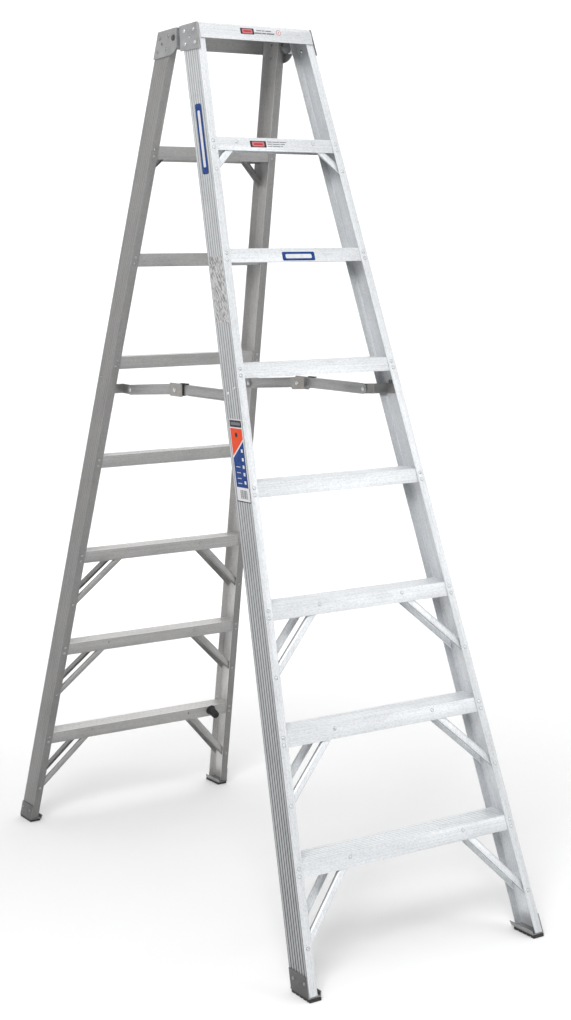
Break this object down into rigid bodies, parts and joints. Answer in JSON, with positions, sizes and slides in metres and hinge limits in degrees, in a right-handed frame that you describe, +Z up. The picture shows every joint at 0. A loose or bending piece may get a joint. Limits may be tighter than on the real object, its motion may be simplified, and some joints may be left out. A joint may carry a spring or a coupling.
{
  "type": "platform step ladder",
  "caption": "Tall twin-sided aluminium step ladder: two tapering stepped sections hinged at a split flat top cap, with folding spreaders and rubber feet.",
  "frame": {"origin": "on the floor, midway between the front and rear feet, on the ladder's centre line", "axes": "+Z up, +X across the steps to the right of someone who faces the front section, -Y toward the front section's feet, +Y toward the rear section's feet"},
  "size_m": [0.7078, 1.6886, 2.345],
  "materials": {
    "front_aluminium": "mill-finish extrusion, fine long brushing",
    "rear_aluminium": "mill-finish extrusion, slightly dulled",
    "spreader_metal": "rolled strip, satin",
    "plated_steel": "zinc plated",
    "black_rubber": "moulded, matte"
  },
  "bodies": {
    "front_section": {"rail_front_left": "front_aluminium", "rail_front_right": "front_aluminium", "step_front_1": "front_aluminium", "step_front_2": "front_aluminium", "step_front_3": "front_aluminium", "step_front_4": "front_aluminium", "step_front_5": "front_aluminium", "step_front_6": "front_aluminium", "step_front_7": "front_aluminium", "brace_front_1_outer_left": "front_aluminium", "brace_front_1_outer_right": "front_aluminium", "brace_front_5_outer_left": "front_aluminium", "brace_front_5_outer_right": "front_aluminium", "brace_front_5_inner_left": "front_aluminium", "brace_front_5_inner_right": "front_aluminium", "brace_front_6_outer_left": "front_aluminium", "brace_front_6_outer_right": "front_aluminium", "brace_front_6_inner_left": "front_aluminium", "brace_front_6_inner_right": "front_aluminium", "brace_front_7_outer_left": "front_aluminium", "brace_front_7_outer_right": "front_aluminium", "brace_front_7_inner_left": "front_aluminium", "brace_front_7_inner_right": "front_aluminium", "cap_front": "front_aluminium", "end_plate_front_left": "front_aluminium", "end_plate_front_right": "front_aluminium", "spreader_bracket_front_left": "spreader_metal", "spreader_bracket_front_right": "spreader_metal", "shoe_front_left": "plated_steel", "shoe_front_right": "plated_steel", "tread_front_left": "black_rubber", "tread_front_right": "black_rubber"},
    "rear_section": {"rail_rear_left": "rear_aluminium", "rail_rear_right": "rear_aluminium", "step_rear_1": "rear_aluminium", "step_rear_2": "rear_aluminium", "step_rear_3": "rear_aluminium", "step_rear_4": "rear_aluminium", "step_rear_5": "rear_aluminium", "step_rear_6": "rear_aluminium", "step_rear_7": "rear_aluminium", "cap_rear": "rear_aluminium", "end_plate_rear_left": "rear_aluminium", "end_plate_rear_right": "rear_aluminium", "hinge_pin_left": "plated_steel", "hinge_pin_right": "plated_steel", "spreader_bracket_rear_left": "spreader_metal", "spreader_bracket_rear_right": "spreader_metal", "shoe_rear_left": "plated_steel", "shoe_rear_right": "plated_steel", "tread_rear_left": "black_rubber", "tread_rear_right": "black_rubber", "bumper": "black_rubber"},
    "front_link_left": {"spreader_link_front_left": "spreader_metal", "spreader_clip_outer_left": "spreader_metal"},
    "front_link_right": {"spreader_link_front_right": "spreader_metal", "spreader_clip_outer_right": "spreader_metal"},
    "rear_link_left": {"spreader_link_rear_left": "spreader_metal"},
    "rear_link_right": {"spreader_link_rear_right": "spreader_metal"}
  },
  "joints": [
    {"name": "fold", "type": "hinge", "parent": "front_section", "child": "rear_section", "pos_m": [0, 0.014, 2.319], "axis": [-1, 0, 0], "range_deg": [0, 32]},
    {"name": "front_spreader_left", "type": "hinge", "parent": "front_section", "child": "front_link_left", "pos_m": [-0.20065, -0.298, 1.374], "axis": [1, 0, 0], "range_deg": [0, 66.7]},
    {"name": "rear_spreader_left", "type": "hinge", "parent": "rear_section", "child": "rear_link_left", "pos_m": [-0.19785, 0.297, 1.365], "axis": [-1, 0, 0], "range_deg": [0, 68.1]},
    {"name": "front_spreader_right", "type": "hinge", "parent": "front_section", "child": "front_link_right", "pos_m": [0.20065, -0.298, 1.374], "axis": [1, 0, 0], "range_deg": [0, 66.7]},
    {"name": "rear_spreader_right", "type": "hinge", "parent": "rear_section", "child": "rear_link_right", "pos_m": [0.19785, 0.297, 1.365], "axis": [-1, 0, 0], "range_deg": [0, 68.1]}
  ],
  "couplings": [
    {"joint": "front_spreader_left", "follows": "fold", "ratio": 2.0809},
    {"joint": "rear_spreader_left", "follows": "fold", "ratio": 2.1253},
    {"joint": "front_spreader_right", "follows": "fold", "ratio": 2.0809},
    {"joint": "rear_spreader_right", "follows": "fold", "ratio": 2.1253}
  ]
}
